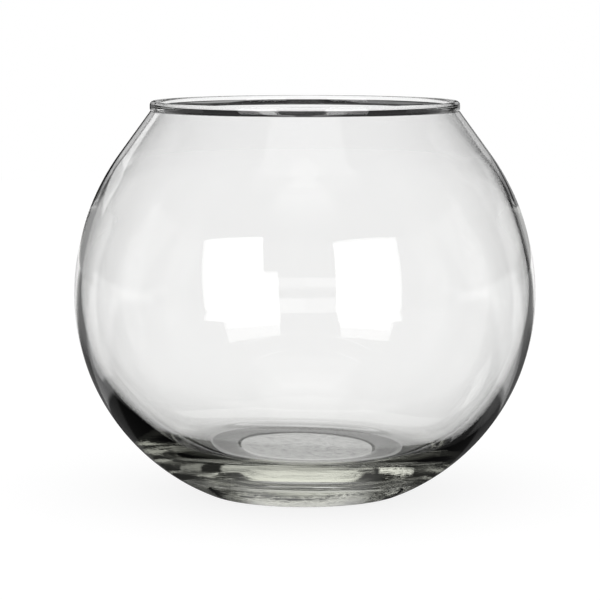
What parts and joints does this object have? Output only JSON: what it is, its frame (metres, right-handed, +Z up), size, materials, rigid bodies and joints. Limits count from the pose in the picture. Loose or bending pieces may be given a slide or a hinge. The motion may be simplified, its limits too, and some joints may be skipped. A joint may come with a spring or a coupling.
{
  "type": "round glass vase",
  "caption": "Round clear glass bowl vase with a wide lipped mouth, thin wall and thick heavy floor, made to hold water and cut flowers.",
  "frame": {"origin": "centre of the underside, in the plane of the flat ring that the vase stands on", "axes": "+Z up along the vase's axis of revolution, towards the mouth; X and Y are alike"},
  "size_m": [0.152, 0.152, 0.129],
  "materials": {
    "clear_glass": "clear, glossy, fire-polished, faint grey-green tint in the thick floor"
  },
  "bodies": {
    "root": {"glass_vase": "clear_glass"}
  },
  "joints": []
}
